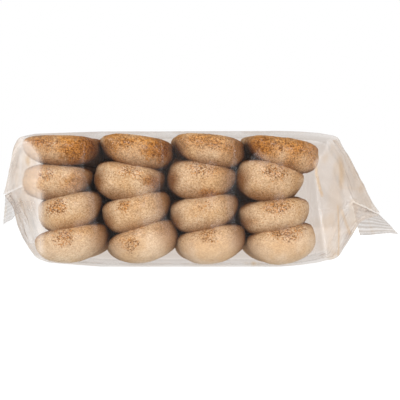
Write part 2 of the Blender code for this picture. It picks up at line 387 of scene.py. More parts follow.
def finger_browning(number, local, out, blotch, height, inwards):
    """How toasted and how porous each point of a finger is."""
    toast = np.zeros(len(local))
    porous = np.zeros(len(local))
    end_zone = smoothstep(22.0, 6.0, inwards)
    for entry in TOASTED:
        if entry[0] == number:
            toast = np.maximum(toast, patch(local, entry, 1.0) * end_zone)
    for entry in POROUS:
        if entry[0] == number:
            porous = np.maximum(porous, patch(local, entry, 0.4) * end_zone)
    # The flat side lay on the baking sheet: it is browner and has open pores all along.
    flat_up = smoothstep(0.55, 0.9, out[:, 2]) * (1 - 0.6 * end_zone)
    blotchy = smoothstep(-0.3, 0.6, blotch)
    porous = np.maximum(porous, flat_up * (0.25 + 0.3 * blotchy))
    toast = np.maximum(toast, flat_up * (0.42 + 0.18 * blotchy))
    row = number // 4
    upper = smoothstep(-0.9, 0.6, height)
    below = ROW_BROWNING_BELOW[row]
    browning = ROW_BROWNING[row] * (below + (1.05 - below) * upper)
    toast = np.maximum(toast, browning * (0.7 + 0.6 * blotch))
    # The long sides are browner than the tips: partly their baked crust, partly painted shade deep in the
    # gaps between the fingers.
    toast = np.maximum(toast, 0.35 * smoothstep(5, 18, inwards) * (1 + 0.5 * blotch))
    return toast, porous


def finger_painted_shade(number, local, out, height, inwards):
    """Painted shade: how dark each point is painted where a finger lies against its neighbours or faces
    the gaps beside it.
    """
    has_left, right, over, under = pressed_sides(number)
    lower_half = smoothstep(0.3, -0.5, height)
    left = has_left * (0.1 + ROW_LEFT_SHADE[number // 4] * lower_half)
    facing = np.maximum(out[:, 0], 0) * right + np.maximum(-out[:, 0], 0) * np.clip(left, 0, 1)
    facing += np.maximum(out[:, 2], 0) * over + np.maximum(-out[:, 2], 0) * under
    painted_shade = np.clip(facing, 0, 1) * smoothstep(2.5, 13.0, inwards)
    across = local[:, 0] / (FINGERS[number][2] / 2)
    # The outer sides of the outer columns lie free, so their lower halves get no painted shade there.
    free_end = (not right) * smoothstep(0.2, 0.8, across)
    free_end = free_end + (not has_left) * smoothstep(0.2, 0.8, -across)
    # Painted shade under each finger's domed side, above the finger below it.
    beneath = 0.88 * under * (1 - free_end) * smoothstep(-0.3, -0.95, height)
    painted_shade = np.maximum(painted_shade, beneath)
    # Painted shade on the ends that face the gaps between the columns.
    beside = 0.85 * smoothstep(0.28, 1.0, across) * right
    beside = np.maximum(beside, smoothstep(0.45, 1.0, -across) * left)
    return np.clip(np.maximum(painted_shade, beside), 0, 1)


def finger_relief(sample, porous):
    """How far each point stands out of the smooth form, and how much of a pit it is."""
    shape = 0.35 * value_noise(sample, 11.0, 11) + 0.16 * value_noise(sample, 4.5, 12)
    near, owner = cell_noise(sample, 1.25, 21)
    grains = 0.15 * (1 - smoothstep(0.1, 0.75, near)) * (0.4 + owner)
    grit = 0.05 * value_noise(sample, 0.8, 22)
    pit_near, pit_owner = cell_noise(sample, 1.25, 41)
    open_pit = smoothstep(0.35, 0.6, pit_owner + 0.35 * porous - 0.25)
    pit = (1 - smoothstep(0.12, 0.36, pit_near)) * open_pit * smoothstep(0.15, 0.6, porous)
    return shape + grains + grit - PIT_DEPTH * pit, pit


def build_finger(number, material):
    """One sponge finger: grainy, porous where it browned, a little uneven."""
    grid, half = finger_grid(number, 0)
    rings = len(grid)
    local = grid.reshape(-1, 3)
    out = grid_normals(grid, True).reshape(-1, 3)
    sample = local + np.array((131.0, 57.0, 23.0)) * (number + 1)
    inwards = half - np.abs(local[:, 1])
    thickness = FINGERS[number][3]
    top = FLAT_SIDE_SHARE * thickness
    height = np.where(local[:, 2] > 0, local[:, 2] / top, local[:, 2] / (thickness - top))
    blotch = value_noise(sample, 9.0, 3) * 0.5 + value_noise(sample, 4.0, 4) * 0.5

    toast, porous = finger_browning(number, local, out, blotch, height, inwards)
    # Painted shade where the fingers lie against each other and in the gaps between them.
    painted_shade = finger_painted_shade(number, local, out, height, inwards)
    # Painted light: the lower halves are lightened as if by light thrown up from the white floor.
    painted_bounce = FLOOR_BOUNCE_BELOW[number] * smoothstep(0.5, -0.5, height)
    relief, pit = finger_relief(sample, porous)
    local = local + out * relief[:, None]

    placed = place(local.reshape(rings, AROUND, 3), number).reshape(-1, 3)
    quads = grid_faces(rings, AROUND, True)
    # Both ends close with a fan of triangles round the middle of the last ring.
    first_tip = placed[:AROUND].mean(axis=0)
    last_tip = placed[-AROUND:].mean(axis=0)
    vertices = np.vstack([placed, first_tip, last_tip])
    tip = len(placed)
    fans = [(tip, (j + 1) % AROUND, j) for j in range(AROUND)]
    last = (rings - 1) * AROUND
    fans += [(tip + 1, last + j, last + (j + 1) % AROUND) for j in range(AROUND)]

    def with_tips(values):
        return np.concatenate([values, [values[:AROUND].mean(), values[-AROUND:].mean()]])

    attributes = {
        "toast": with_tips(toast),
        "porous": with_tips(porous),
        "pit": with_tips(pit),
        "painted_shade": with_tips(painted_shade),
        "painted_bounce": with_tips(painted_bounce),
    }
    return make_object(f"finger_{number + 1:02d}", vertices, quads, fans, material, attributes)


# ---------------------------------------------------------------------------------------------------
# Film
# ---------------------------------------------------------------------------------------------------
SIDE_POINTS = 44
LONG_POINTS = 64
CORNER_POINTS = 6
LOOP_POINTS = 2 * (SIDE_POINTS + LONG_POINTS) + 4 * CORNER_POINTS
STATION_STEP = 1.0
STATION_SMOOTHINGS = 4
HALF_HEIGHT = 35.0
FILM_GAP = 0.45
REACH = 80.0
NOTHING_THERE = -1e9
RELAX_PASSES = 160
RELAX_WEIGHT = 0.9
# How hard the film is drawn in between the fingers, on the front and back and on the top.
SIDE_LOAD = 0.010
TOP_LOAD = 0.004
# The fin of the long seam: its middle and half width along Y, and how high the underside lies on it.
FIN_MIDDLE = 6.0
FIN_HALF_WIDTH = 6.5
FIN_LIFT = 0.35
FIN_DROP = 0.3
LOWEST_FILM = 0.02


def rounded_rectangle(half_depth, height):
    """(y, share of the height) round a tube section, anticlockwise from the lower front corner."""
    radius = min(CORNER_RADIUS, 0.49 * height)
    corners = [
        (half_depth - radius, radius, -90),
        (half_depth - radius, height - radius, 0),
        (radius - half_depth, height - radius, 90),
        (radius - half_depth, radius, 180),
    ]
    steps_after = [SIDE_POINTS, LONG_POINTS, SIDE_POINTS, LONG_POINTS]
    loop = []
    for i, (y, h, start) in enumerate(corners):
        for step in range(CORNER_POINTS + 1):
            angle = math.radians(start + 90 * step / CORNER_POINTS)
            loop.append((y + radius * math.cos(angle), h + radius * math.sin(angle)))
        following = corners[(i + 1) % 4]
        turn = math.radians(following[2])
        end = (following[0] + radius * math.cos(turn), following[1] + radius * math.sin(turn))
        begin = loop[-1]
        for step in range(1, steps_after[i]):
            share = step / steps_after[i]
            loop.append(tuple(a + (b - a) * share for a, b in zip(begin, end)))
    return np.array([(y, h / height) for y, h in loop])


def fine_stations():
    """The profile's stations at about one millimetre, with its corners a little rounded."""
    ends = len(LEFT_END), len(RIGHT_END)
    raw = []
    for i, station in enumerate(LEFT_END):
        raw.append((*station, i / ends[0]))
    for station in BLOCK:
        raw.append((*station, 1.0))
    for i, station in enumerate(RIGHT_END):
        raw.append((*station, 1 - (i + 1) / ends[1]))
    raw = np.array(raw)
    fine = [raw[0]]
    for a, b in zip(raw, raw[1:]):
        length = max(math.hypot(*(b - a)[0:2]), math.hypot(*(b - a)[2:4]))
        steps = max(1, round(length / STATION_STEP))
        for step in range(1, steps + 1):
            fine.append(a + (b - a) * step / steps)
    fine = np.array(fine)
    for _ in range(STATION_SMOOTHINGS):
        fine[1:-1] = (fine[:-2] + 2 * fine[1:-1] + fine[2:]) / 4
    return fine


def crease_x(crease, z):
    """x of a crease line at each height z."""
    across, up = np.array(crease).T
    return np.interp(z, up, across)


# Places where the front of the film is painted tan as a reflection of the fingers' colour: middle x and z,
# half sizes, strength.
TAN_PATCHES = [
    (73.0, 49.0, 4.6, 12.5, 1.25),
    (74.0, 31.0, 3.0, 5.5, 1.0),
    (69.0, 11.5, 3.8, 6.5, 0.55),
    (79.0, 24.0, 2.6, 6.0, 0.35),
    (-95.5, 46.0, 2.0, 6.0, 0.35),
    (-84.0, 43.0, 3.6, 5.0, 0.5),
    (-88.5, 56.0, 4.0, 5.0, 0.8),
    (-86.5, 66.0, 6.0, 2.6, 0.5),
    (27.0, 2.2, 6.0, 1.6, 1.0),
    (70.0, 60.5, 2.6, 6.0, 0.5),
    (84.0, 41.0, 2.4, 4.6, 0.6),
    (66.0, 23.0, 3.0, 7.0, 0.35),
]
# Fine creases in the front of the film: half width, how light, how brown with a painted fold shadow, and x
# and z of their points.
CREASES = [
    (0.6, 1.5, 1.7, ((59.9, 54.7), (60.9, 48.4), (62.5, 41.6), (63.8, 37.9))),
    (0.45, 0.9, 1.2, ((72.4, 32.2), (72.6, 20.0), (72.2, 6.4))),
    (0.35, 0.8, 0.9, ((73.5, 41.6), (78.5, 41.8), (83.5, 40.4))),
    (0.9, 0.9, 0.9, ((74.2, 30.0), (76.0, 25.0), (78.0, 18.0))),
    (0.7, 1.2, 0.0, ((-93.5, 67.9), (-93.8, 54.0), (-94.0, 39.5))),
    (1.2, 0.6, 0.5, ((-94.5, 35.8), (-91.0, 28.0), (-87.7, 19.6))),
    (0.45, 1.3, 0.0, ((-86.0, 38.5), (-85.6, 30.0), (-84.5, 22.2))),
    (0.5, 1.0, 0.0, ((-93.0, 66.8), (-89.5, 64.5), (-86.0, 61.0), (-84.5, 57.0))),
    (2.3, 1.5, 0.0, ((-84.0, 39.0), (-84.0, 26.0), (-83.4, 9.0))),
]


def distance_to_line(x, z, points):
    """How far each (x, z) lies from a line through the given points."""
    best = np.full(len(x), 1e9)
    for (ax, az), (bx, bz) in zip(points, points[1:]):
        length = (bx - ax) ** 2 + (bz - az) ** 2
        t = np.clip(((x - ax) * (bx - ax) + (z - az) * (bz - az)) / length, 0, 1)
        best = np.minimum(best, np.hypot(x - ax - t * (bx - ax), z - az - t * (bz - az)))
    return best


def smooth_fingers_tree():
    """The fingers' smooth forms, a film's gap larger, to drape the film over."""
    vertices = []
    faces = []
    for number in range(len(FINGERS)):
        placed = place(finger_grid(number, FILM_GAP)[0], number)
        rings = len(placed)
        offset = len(vertices)
        vertices += [Vector(p) for p in placed.reshape(-1, 3).tolist()]
        faces += [tuple(int(i) + offset for i in q) for q in grid_faces(rings, AROUND, True)]
        faces.append(tuple(offset + j for j in range(AROUND)))
        faces.append(tuple(offset + (rings - 1) * AROUND + j for j in range(AROUND)))
    return BVHTree.FromPolygons(vertices, faces)


def film_grid():
    """The film's tube as a grid of points, with each one's share of the height and how far out it is."""
    stations = fine_stations()
    grid = np.zeros((len(stations), LOOP_POINTS, 3))
    shares = np.zeros((len(stations), LOOP_POINTS))
    sides = np.zeros((len(stations), LOOP_POINTS))
    for i, (tx, tz, lx, lz, sx, sz, full) in enumerate(stations):
        half = SEAL_HALF_DEPTH + (FILM_HALF_DEPTH - SEAL_HALF_DEPTH) * full
        loop = rounded_rectangle(half, math.hypot(tx - lx, tz - lz))
        y, share = loop[:, 0], loop[:, 1]
        across = y / half
        x = lx + (tx - lx) * share + sx * (across + 1) / 2
        z = lz + (tz - lz) * share + sz * (across + 1) / 2
        # Beyond the crease lines the two sides turn in to the tucks between the sheets.
        middle = np.clip(1 - np.abs(2 * share - 1), 0, 1)
        edge = np.clip(np.abs(across) * 2 - 1, 0, 1)
        to_right = np.clip(x - crease_x(RIGHT_CREASE, z), 0, None)
        to_left = np.clip(crease_x(LEFT_CREASE, z) - x, 0, None)
        room = max(0.4 * math.hypot(tx - lx, tz - lz), 0.1)
        valley = np.sin(middle * math.pi / 2) ** 1.3
        tuck = room * (2 - np.exp(-0.8 * to_right / room) - np.exp(-0.6 * to_left / room)) * valley
        y = y - np.sign(y) * tuck * edge
        grid[i] = np.stack([x, y, z], axis=1)
        shares[i] = share
        sides[i] = np.abs(across)
    return grid, shares, sides, stations


def relax(field, obstacle, load):
    """A taut sheet over an obstacle: each pass averages with the neighbours and stays clear of it."""
    for _ in range(RELAX_PASSES):
        average = field.copy()
        average[1:-1, 1:-1] = (
            field[:-2, 1:-1] + field[2:, 1:-1] + field[1:-1, :-2] + field[1:-1, 2:]
        ) / 4
        field = field + RELAX_WEIGHT * (average - field) - load * RELAX_WEIGHT
        field = np.maximum(field, obstacle)
    return field


def drape(grid, columns, axis, sign, tree, load):
    """Lays the columns of the grid that face one way over the fingers behind them."""
    middle = HALF_HEIGHT if axis == 2 else 0.0
    part = grid[:, columns].copy()
    rows, width = part.shape[:2]
    direction = Vector((0, 0, 0))
    direction[axis] = -sign
    obstacle = np.full((rows, width), NOTHING_THERE)
    for i in range(rows):
        for j in range(width):
            origin = Vector(part[i, j].tolist())
            origin[axis] = middle + sign * REACH
            hit = tree.ray_cast(origin, direction, REACH)
            if hit[0] is not None:
                obstacle[i, j] = hit[0][axis] * sign
    start = part[:, :, axis] * sign
    field = relax(np.maximum(start, obstacle), obstacle, load)
    # The sheet keeps its rim and never falls behind where it began.
    part[:, :, axis] = np.maximum(field, start) * sign
    grid[:, columns] = part
    return grid


def draped_film(grid, tree):
    """The tube's back, front, top and lower side, each laid over the fingers."""
    corner = CORNER_POINTS + 1
    back_side = np.arange(corner - 3, corner + SIDE_POINTS + 2)
    top_start = corner + SIDE_POINTS - 1 + corner
    top_side = np.arange(top_start - 3, top_start + LONG_POINTS + 2)
    front_start = top_start + LONG_POINTS - 1 + corner
    front_side = np.arange(front_start - 3, front_start + SIDE_POINTS + 2)
    grid = drape(grid, back_side, 1, 1, tree, SIDE_LOAD)
    grid = drape(grid, front_side, 1, -1, tree, SIDE_LOAD)
    grid = drape(grid, top_side, 2, 1, tree, TOP_LOAD)
    # The lower side closes the loop, so it is turned to the loop's start before it is draped.
    grid = np.roll(grid, LONG_POINTS + 3, axis=1)
    grid = drape(grid, np.arange(1, LONG_POINTS + 6), 2, -1, tree, 0.0)
    return np.roll(grid, -LONG_POINTS - 3, axis=1)


def build_film(material, tree):
    """The tube of film with its tucks, wrinkles and creases, and the flat seam under it."""
    grid, shares, sides, stations = film_grid()
    grid = draped_film(grid, tree)
    rows, count = grid.shape[:2]
    flat = grid.reshape(-1, 3)
    normal = grid_normals(grid, True).reshape(-1, 3)
    beyond_left = crease_x(LEFT_CREASE, flat[:, 2]) - flat[:, 0]
    beyond_right = flat[:, 0] - crease_x(RIGHT_CREASE, flat[:, 2])
    past_left = smoothstep(-1.0, 4.0, beyond_left)
    past_right = smoothstep(-1.0, 3.0, beyond_right)
    end = 1 - smoothstep(0.55, 1.0, np.repeat(stations[:, 6], count))
    crumple = np.maximum(end, np.maximum(past_left, past_right) * 0.8)

    # Wrinkles: strong at the two ends, faint along the fingers, none under the pack.
    stretched = flat * np.array((0.55, 1.0, 1.0))
    warp = np.stack([value_noise(stretched, 17, 60 + k) for k in range(3)], axis=1) * 6
    folds = 1 - 2 * np.abs(value_noise(stretched + warp, 13.0, 71))
    fine_folds = 1 - 2 * np.abs(value_noise(stretched + warp * 0.7, 6.0, 72))
    ripple = value_noise(flat * np.array((1.0, 1.0, 0.5)), 8.0, 73)
    push = crumple * (0.75 * folds + 0.3 * fine_folds) + (1 - crumple) * (0.08 * folds + 0.03 * ripple)
    push *= 1 - smoothstep(2.2, 0.6, flat[:, 2])
    flat = flat + normal * push[:, None]

    # The underside lies on the fin of the long seam, which is folded flat against it.
    underside = shares.reshape(-1) < 0.02
    on_fin = underside & (np.abs(flat[:, 1] - FIN_MIDDLE) < FIN_HALF_WIDTH) & (flat[:, 2] < 3.9)
    flat[:, 2] += np.where(underside, FIN_LIFT, 0.0)
    flat[:, 2] -= np.where(on_fin, FIN_DROP, 0.0)
    flat[:, 2] = np.maximum(flat[:, 2], LOWEST_FILM)

    # Haze: how milky the film is. Creases and crumpled places are the milkiest.
    beyond_left = crease_x(LEFT_CREASE, flat[:, 2]) - flat[:, 0]
    beyond_right = flat[:, 0] - crease_x(RIGHT_CREASE, flat[:, 2])
    mottle = 0.5 + 0.5 * value_noise(stretched + warp, 7.0, 81)
    lines = smoothstep(0.80, 0.97, folds) * 0.6
    facet = cell_noise(stretched + warp, 24.0, 83)[1]
    crease = np.exp(-((beyond_left / 1.3) ** 2))
    right_line = np.exp(-((beyond_right / 0.9) ** 2))
    crease = np.maximum(crease, (1.3 + 0.6 * value_noise(flat, 9.0, 85)) * right_line)
    haze = crumple * (0.20 + 0.45 * mottle + 0.5 * lines + 0.35 * facet)
    haze += (1 - crumple) * (0.03 * lines + 0.05 * facet**4)
    haze = np.maximum(haze, 0.75 * crease * (sides.reshape(-1) > 0.8))
    milky = 1.0 + 0.3 * mottle + 0.4 * smoothstep(52.0, 58.0, flat[:, 2])
    milky = milky * smoothstep(-0.8, 1.3, beyond_left) * smoothstep(24.0, 40.0, flat[:, 2])
    haze = np.maximum(haze, milky)

    # Tan: a painted reflection of the fingers' colour in the folded film.
    in_front = smoothstep(0.0, -6.0, flat[:, 1])
    tan_mottle = 0.5 + 0.5 * value_noise(flat * np.array((1.4, 1, 0.5)), 9.0, 82)
    tan = 0.32 * crumple * smoothstep(0.45, 0.8, tan_mottle)
    flecks = smoothstep(0.1, 0.6, value_noise(flat * np.array((1.3, 0.6, 0.6)), 5.0, 86))
    tan = np.maximum(tan, 0.5 * past_right * in_front * flecks)
    streak = 0.75 + 0.75 * value_noise(flat * np.array((1.0, 0.4, 0.18)), 2.0, 84)
    for across, up, half_across, half_up, strength in TAN_PATCHES:
        away = np.hypot((flat[:, 0] - across) / half_across, (flat[:, 2] - up) / half_up)
        tan = np.maximum(tan, strength * (1 - smoothstep(0.3, 1.1, away)) * streak * in_front)
    # Each crease line is milkier, and browner where a painted fold shadow runs along it.
    for half_width, lighter, browner, points in CREASES:
        away = distance_to_line(flat[:, 0], flat[:, 2], points) / half_width
        near = np.exp(-(away**2)) * in_front
        haze = np.maximum(haze, lighter * near)
        tan = np.maximum(tan * (1 - near * (browner == 0)), browner * near)

    # The lower part of the left end is the smoothest and clearest.
    low_left = smoothstep(-78.0, -86.0, flat[:, 0]) * smoothstep(34.0, 22.0, flat[:, 2])
    top_like = smoothstep(0.35, 0.8, np.abs(normal[:, 2]))
    attributes = {
        "haze": haze * (1 - 0.45 * low_left),
        "tan": tan * (1 - 0.7 * low_left),
        "tint": 1 - 0.6 * top_like - 0.3 * low_left,
    }
    return make_object("film", flat, grid_faces(rows, count, True), [], material, attributes)


SEAL_ROWS = 56
SEAL_COLUMNS = 170
SEAL_RIBS = 7
SEAL_HALF_THICKNESS = 0.16
ZIGZAG_TEETH = 34
ZIGZAG_DEPTH = 0.9


def seal(name, station, cut_edge, dimming, crimp_depth, material):
    """A crimped seal: two sheets pressed into ribs, with a zigzag cut edge."""
    start = (np.array(station[0:2]) + np.array(station[2:4])) / 2
    end = np.array(cut_edge[0:2])
    share = np.linspace(0, 1, SEAL_ROWS)[:, None]
    across = np.linspace(-1, 1, SEAL_COLUMNS)[None, :]
    side = (across + 1) / 2
    tooth = 2 * np.abs((side * ZIGZAG_TEETH) % 1 - 0.5) - 0.5
    along = share * (1 + ZIGZAG_DEPTH * tooth / np.linalg.norm(end - start) * smoothstep(0.9, 1.0, share))
    sweep_x = station[4] + (cut_edge[2] - station[4]) * share
    sweep_z = station[5] + (cut_edge[3] - station[5]) * share
    x = start[0] + (end[0] - start[0]) * along + sweep_x * side
    z = start[1] + (end[1] - start[1]) * along + sweep_z * side
    y = SEAL_HALF_DEPTH * across + 0 * share
    middle = np.stack([x, y, z], axis=2)
    normal = grid_normals(middle, False)
    flat = middle.reshape(-1, 3)
    wave = 0.9 * np.sin(side * 9 + 1.5 * share) + 0.5 * value_noise(flat, 12.0, 91).reshape(x.shape)
    curl = wave * smoothstep(0.1, 1.0, share)
    ridge = np.sin(share * SEAL_RIBS * 2 * math.pi) + 0 * across
    crimp = crimp_depth * ridge * smoothstep(0.03, 0.1, share)
    middle = middle + normal * (crimp + 0.5 * curl)[:, :, None]
    thin = SEAL_HALF_THICKNESS * (1 - 0.5 * share)
    upper = middle + normal * thin[:, :, None]
    lower = middle - normal * thin[:, :, None]
    rows, count = x.shape
    vertices = np.vstack([upper.reshape(-1, 3), lower.reshape(-1, 3)])
    top = grid_faces(rows, count, False)
    low = top[:, ::-1] + rows * count
    # The two sheets are joined all round their rim.
    edge = list(range(count)) + [i * count + count - 1 for i in range(1, rows)]
    edge += [(rows - 1) * count + j for j in range(count - 2, -1, -1)]
    edge += [i * count for i in range(rows - 2, 0, -1)]
    rim = [(b, a, a + rows * count, b + rows * count) for a, b in zip(edge, edge[1:] + edge[:1])]

    def on_both(values):
        return np.concatenate([values.reshape(-1), values.reshape(-1)])

    attributes = {
        "haze": on_both(0.05 + 0.05 * ridge),
        "tan": on_both(smoothstep(0.2, 0.9, value_noise(flat, 10.0, 92))) * 0.35,
        "tint": on_both(dimming * (1 + 0.4 * ridge)),
    }
    return make_object(name, vertices, np.vstack([top, low]), rim, material, attributes)


# ---------------------------------------------------------------------------------------------------
# Materials
# ---------------------------------------------------------------------------------------------------
def new_material(name):
    """A new material with its nodes, its links and its shader."""
    made = bpy.data.materials.new(name)
    made.use_nodes = True
    nodes, links = made.node_tree.nodes, made.node_tree.links
    return made, nodes, links, nodes["Principled BSDF"]


def attribute(nodes, name):
    node = nodes.new("ShaderNodeAttribute")
    node.attribute_name = name
    return node.outputs["Fac"]


def mix_colour(nodes, links, factor, first, second, blend="MIX"):
    node = nodes.new("ShaderNodeMix")
    node.data_type = "RGBA"
    node.blend_type = blend
    for socket, value in (("Factor_Float", factor), ("A_Color", first), ("B_Color", second)):
        target = next(i for i in node.inputs if i.identifier == socket)
        if isinstance(value, bpy.types.NodeSocket):
            links.new(value, target)
        else:
            target.default_value = value
    return next(o for o in node.outputs if o.identifier == "Result_Color")


def maths(nodes, links, operation, *values):
    node = nodes.new("ShaderNodeMath")
    node.operation = operation
    for i, value in enumerate(values):
        if isinstance(value, bpy.types.NodeSocket):
            links.new(value, node.inputs[i])
        else:
            node.inputs[i].default_value = value
    return node.outputs[0]


def ramp(nodes, links, value, low, high):
    node = nodes.new("ShaderNodeMapRange")
    node.interpolation_type = "SMOOTHSTEP"
    links.new(value, node.inputs["Value"])
    node.inputs["From Min"].default_value = low
    node.inputs["From Max"].default_value = high
    return node.outputs["Result"]


def noise(nodes, links, coordinates, scale, detail):
    node = nodes.new("ShaderNodeTexNoise")
    node.inputs["Scale"].default_value = scale
    node.inputs["Detail"].default_value = detail
    links.new(coordinates, node.inputs["Vector"])
    return node.outputs["Fac"]


def cells(nodes, links, coordinates, scale):
    """A cell texture: three random numbers for each cell, and the distance to its middle."""
    node = nodes.new("ShaderNodeTexVoronoi")
    node.inputs["Scale"].default_value = scale
    links.new(coordinates, node.inputs["Vector"])
    split = nodes.new("ShaderNodeSeparateColor")
    links.new(node.outputs["Color"], split.inputs[0])
    return list(split.outputs)[:3], node.outputs["Distance"]


CRUMB_LIGHT = (0.695, 0.573, 0.410, 1)
CRUMB_DARK = (0.43, 0.308, 0.180, 1)
# The colour that painted light from the white floor mixes into the lower halves.
BOUNCE_LIGHT_COLOUR = (0.79, 0.68, 0.555, 1)
# The colour that painted shade multiplies in, where fingers touch and in the gaps.
SHADE_TINT = (0.40, 0.25, 0.14, 1)
WARM_TINT = (0.94, 0.86, 0.74, 1)
TOAST = (0.49, 0.222, 0.045, 1)
TOAST_DARK = (0.15, 0.054, 0.008, 1)
# The near black of the painted shade inside the pores.
PORE_SHADE = (0.115, 0.043, 0.012, 1)
# How fine the patterns of the crumb are: its grains, its holes and its broad warm and cool places.
GRAIN_SCALE = 1850
HOLE_SCALE = 880
BROAD_SCALE = 65


def sponge_material():
    """Matt golden crumb made of sugary grains, with browned places, dark pores painted as the shade in
    their holes, painted shade between the fingers and painted light from the floor on their lower halves.
    """
    made, nodes, links, shader = new_material("sponge")
    place_in = nodes.new("ShaderNodeTexCoord").outputs["Object"]
    grain_random, grain_edge = cells(nodes, links, place_in, GRAIN_SCALE)
    hole_random, hole_edge = cells(nodes, links, place_in, HOLE_SCALE)
    fine = noise(nodes, links, place_in, GRAIN_SCALE, 2.0)
    broad = noise(nodes, links, place_in, BROAD_SCALE, 3.0)
    tone = maths(nodes, links, "MULTIPLY", fine, 0.5)
    tone = maths(nodes, links, "MULTIPLY_ADD", grain_random[0], 0.5, tone)
    grain = ramp(nodes, links, tone, 0.10, 0.90)
    colour = mix_colour(nodes, links, grain, CRUMB_DARK, CRUMB_LIGHT)
    # Painted light from the white floor lightens the lower halves.
    bounce_lit = mix_colour(nodes, links, 0.6, colour, BOUNCE_LIGHT_COLOUR)
    colour = mix_colour(nodes, links, attribute(nodes, "painted_bounce"), colour, bounce_lit)
    golden = ramp(nodes, links, attribute(nodes, "toast"), 0.34, 0.66)
    warm = maths(nodes, links, "MAXIMUM", ramp(nodes, links, broad, 0.42, 0.66), golden)
    warmer = mix_colour(nodes, links, 1.0, colour, WARM_TINT, "MULTIPLY")
    colour = mix_colour(nodes, links, warm, colour, warmer)
    speckle = ramp(nodes, links, tone, 0.28, 0.72)
    browned = mix_colour(nodes, links, speckle, TOAST_DARK, TOAST)
    toasted = maths(nodes, links, "MULTIPLY_ADD", grain_random[1], 0.5, 0.72)
    toasted = maths(nodes, links, "MULTIPLY", attribute(nodes, "toast"), toasted)
    spotty = maths(nodes, links, "MULTIPLY_ADD", attribute(nodes, "porous"), 0.75, grain_random[2])
    # Where painted floor light lightens a finger, fewer brown specks show.
    spotty = maths(nodes, links, "MULTIPLY_ADD", attribute(nodes, "painted_bounce"), -0.3, spotty)
    spotty = maths(nodes, links, "MULTIPLY", ramp(nodes, links, spotty, 0.60, 1.25), 0.85)
    brown = maths(nodes, links, "MAXIMUM", ramp(nodes, links, toasted, 0.0, 1.0), spotty)
    colour = mix_colour(nodes, links, brown, colour, browned)
    # Dark pores: the small holes and pits are painted near black, as the shade inside them.
    opened = maths(nodes, links, "ADD", attribute(nodes, "porous"), hole_random[0])
    hole = ramp(nodes, links, hole_edge, 0.46, 0.26)
    hole = maths(nodes, links, "MULTIPLY", hole, ramp(nodes, links, opened, 1.0, 1.35))
    pitted = maths(nodes, links, "MULTIPLY", attribute(nodes, "pit"), 0.6)
    hole = maths(nodes, links, "MAXIMUM", hole, pitted)
    dark = maths(nodes, links, "MULTIPLY", hole, 0.85)
    colour = mix_colour(nodes, links, dark, colour, PORE_SHADE)
    # Painted shade: the colour is darkened where the fingers touch and in the gaps between them.
    shaded = mix_colour(nodes, links, 1.0, colour, SHADE_TINT, "MULTIPLY")
    colour = mix_colour(nodes, links, attribute(nodes, "painted_shade"), colour, shaded)
    links.new(colour, shader.inputs["Base Color"])
    shader.inputs["Roughness"].default_value = 0.85
    shader.inputs["Specular IOR Level"].default_value = 0.15
    height = maths(nodes, links, "MULTIPLY_ADD", grain_edge, -0.6, 1.0)
    height = maths(nodes, links, "SUBTRACT", height, hole)
    bump = nodes.new("ShaderNodeBump")
    bump.inputs["Strength"].default_value = 0.6
    bump.inputs["Distance"].default_value = 0.0004
    links.new(height, bump.inputs["Height"])
    links.new(bump.outputs["Normal"], shader.inputs["Normal"])
    return made


CLEAR_TINT = (0.780, 0.734, 0.698, 1)
# The fingers' colour, painted into the film as their reflection.
REFLECTED_TAN = (0.91, 0.76, 0.57, 1)
HAZE_COLOUR = (0.98, 0.95, 0.92, 1)
HAZE_TAN = (0.82, 0.64, 0.45, 1)


def film_material():
    """Clear film: it lets most light through, scatters a little where it is creased, and shines; its tan
    places are a painted reflection of the fingers.
    """
    made, nodes, links, shader = new_material("film")
    haze = attribute(nodes, "haze")
    tan = attribute(nodes, "tan")
    # Painted reflection: tan places give the film's haze the fingers' colour.
    colour = mix_colour(nodes, links, tan, HAZE_COLOUR, HAZE_TAN)
    clear = nodes.new("ShaderNodeBsdfTransparent")
    tint = mix_colour(nodes, links, attribute(nodes, "tint"), (1, 1, 1, 1), CLEAR_TINT)
    # Painted reflection: tan places tint the light through the film with the fingers' colour.
    tan_tinted = mix_colour(nodes, links, 1.0, tint, REFLECTED_TAN, "MULTIPLY")
    tint = mix_colour(nodes, links, maths(nodes, links, "MULTIPLY", tan, 0.7), tint, tan_tinted)
    links.new(tint, clear.inputs["Color"])
    links.new(colour, shader.inputs["Base Color"])
    shader.inputs["Roughness"].default_value = 0.35
    shader.inputs["IOR"].default_value = 1.45
    shader.inputs["Specular IOR Level"].default_value = 0.5
    through = nodes.new("ShaderNodeBsdfTranslucent")
    links.new(colour, through.inputs["Color"])
    cloud = nodes.new("ShaderNodeMixShader")
    cloud.inputs[0].default_value = 0.5
    links.new(shader.outputs[0], cloud.inputs[1])
    links.new(through.outputs[0], cloud.inputs[2])
    amount = maths(nodes, links, "MULTIPLY_ADD", haze, 0.22, 0.006)
    veil = nodes.new("ShaderNodeMixShader")
    links.new(amount, veil.inputs[0])
    links.new(clear.outputs[0], veil.inputs[1])
    links.new(cloud.outputs[0], veil.inputs[2])
    shine = nodes.new("ShaderNodeBsdfGlossy")
    shine.inputs["Roughness"].default_value = 0.14
    fresnel = nodes.new("ShaderNodeFresnel")
    fresnel.inputs["IOR"].default_value = 1.25
    gloss = nodes.new("ShaderNodeMixShader")
    links.new(maths(nodes, links, "MULTIPLY", fresnel.outputs[0], 0.35), gloss.inputs[0])
    links.new(veil.outputs[0], gloss.inputs[1])
    links.new(shine.outputs[0], gloss.inputs[2])
    output = next(n for n in nodes if n.bl_idname == "ShaderNodeOutputMaterial")
    links.new(gloss.outputs[0], output.inputs["Surface"])
    return made


# ---------------------------------------------------------------------------------------------------
# Stage
# ---------------------------------------------------------------------------------------------------
WORLD_SEEN = 1.0
WORLD_LIGHT = 0.22
FLOOR_HALF_SIZE = 6.0
FLOOR_GLOW = 0.985
FLOOR_ALBEDO = 0.08
LIGHT_TARGET = (0, 0, 0.035)
